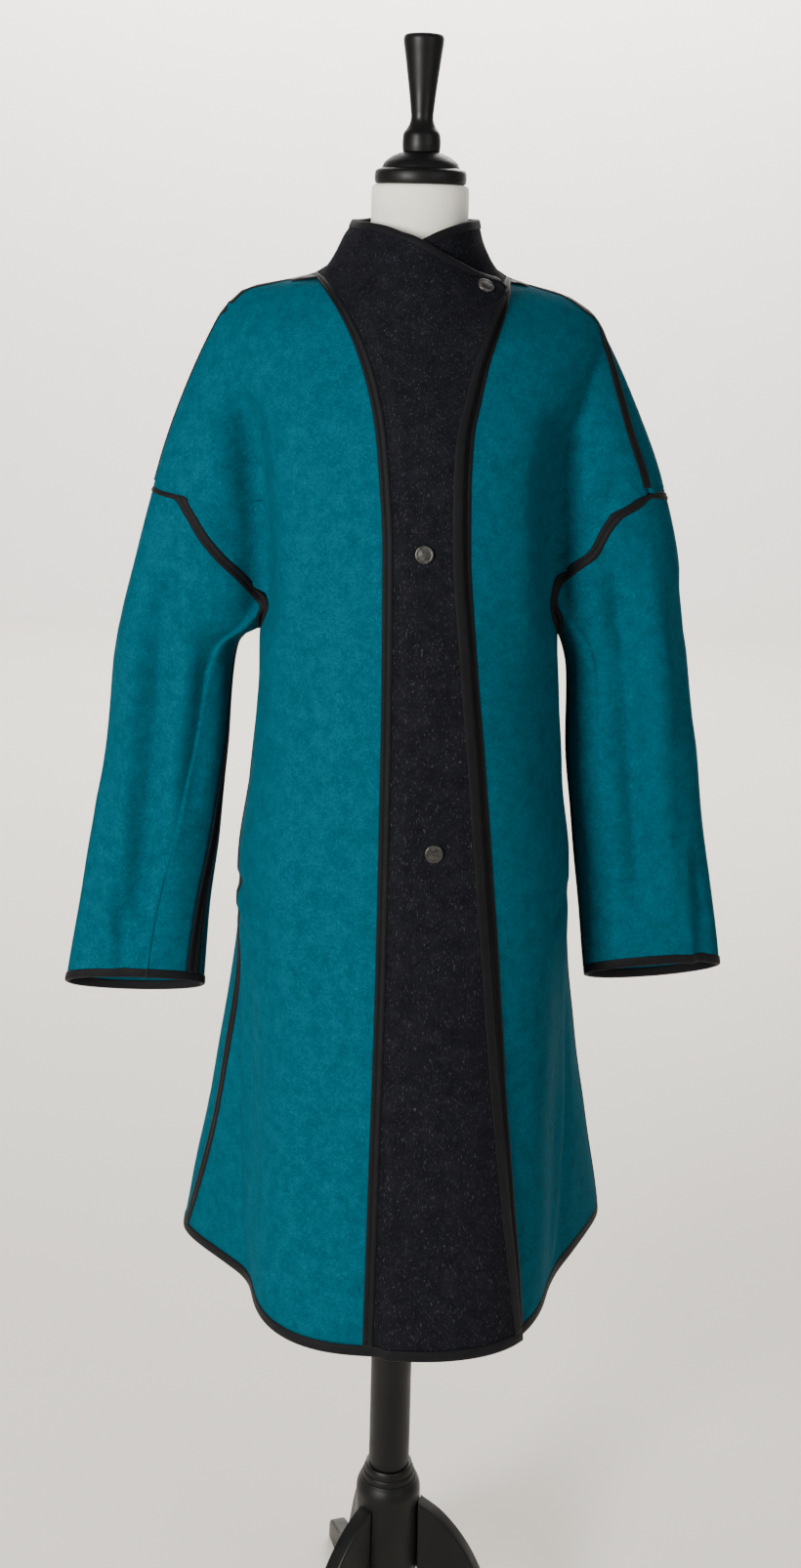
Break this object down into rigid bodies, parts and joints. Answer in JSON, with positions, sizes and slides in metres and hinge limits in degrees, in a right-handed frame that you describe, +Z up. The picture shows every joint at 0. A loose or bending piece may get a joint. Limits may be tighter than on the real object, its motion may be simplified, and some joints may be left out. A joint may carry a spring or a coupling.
{
  "type": "wool coat on a limbless dress form with a stand",
  "caption": "Knee-length A-line wool coat with a stand collar, wide dark front band, bound seams and drop shoulders, worn by a limbless dress form on a tripod stand.",
  "frame": {"origin": "on the floor, under the middle of the bounding box; the form's axis is 10.5 mm towards +X and 5.3 mm towards +Y of it", "axes": "+Z up, +X to the right of a viewer who faces the coat's front, +Y away from that viewer"},
  "size_m": [0.6936, 0.4118, 1.7785],
  "materials": {
    "teal": "felted wool with a short nap",
    "charcoal": "felted wool with a flecked nap",
    "binding": "ribbed knit binding, matt",
    "snap": "aged grey metal, satin",
    "cream": "plain cover cloth, matt",
    "black": "satin black paint"
  },
  "bodies": {
    "root": {"back": "teal", "front_right": "teal", "binding_overarm_right": "binding", "binding_side_right": "binding", "sleeve_right": "teal", "binding_sleeve_right": "binding", "binding_underarm_right": "binding", "binding_cuff_right": "binding", "band_right": "charcoal", "binding_band_right": "binding", "binding_edge_right": "binding", "front_left": "teal", "binding_overarm_left": "binding", "binding_side_left": "binding", "sleeve_left": "teal", "binding_sleeve_left": "binding", "binding_underarm_left": "binding", "binding_cuff_left": "binding", "band_left": "charcoal", "binding_band_left": "binding", "binding_edge_left": "binding", "snap_collar": "snap", "snap_chest": "snap", "snap_hip": "snap", "binding_hem": "binding", "form_body": "cream", "form_cap": "black", "form_finial": "black", "stand_hub": "black", "stand_pole": "black", "leg_1": "black", "leg_2": "black", "leg_3": "black"}
  },
  "joints": []
}
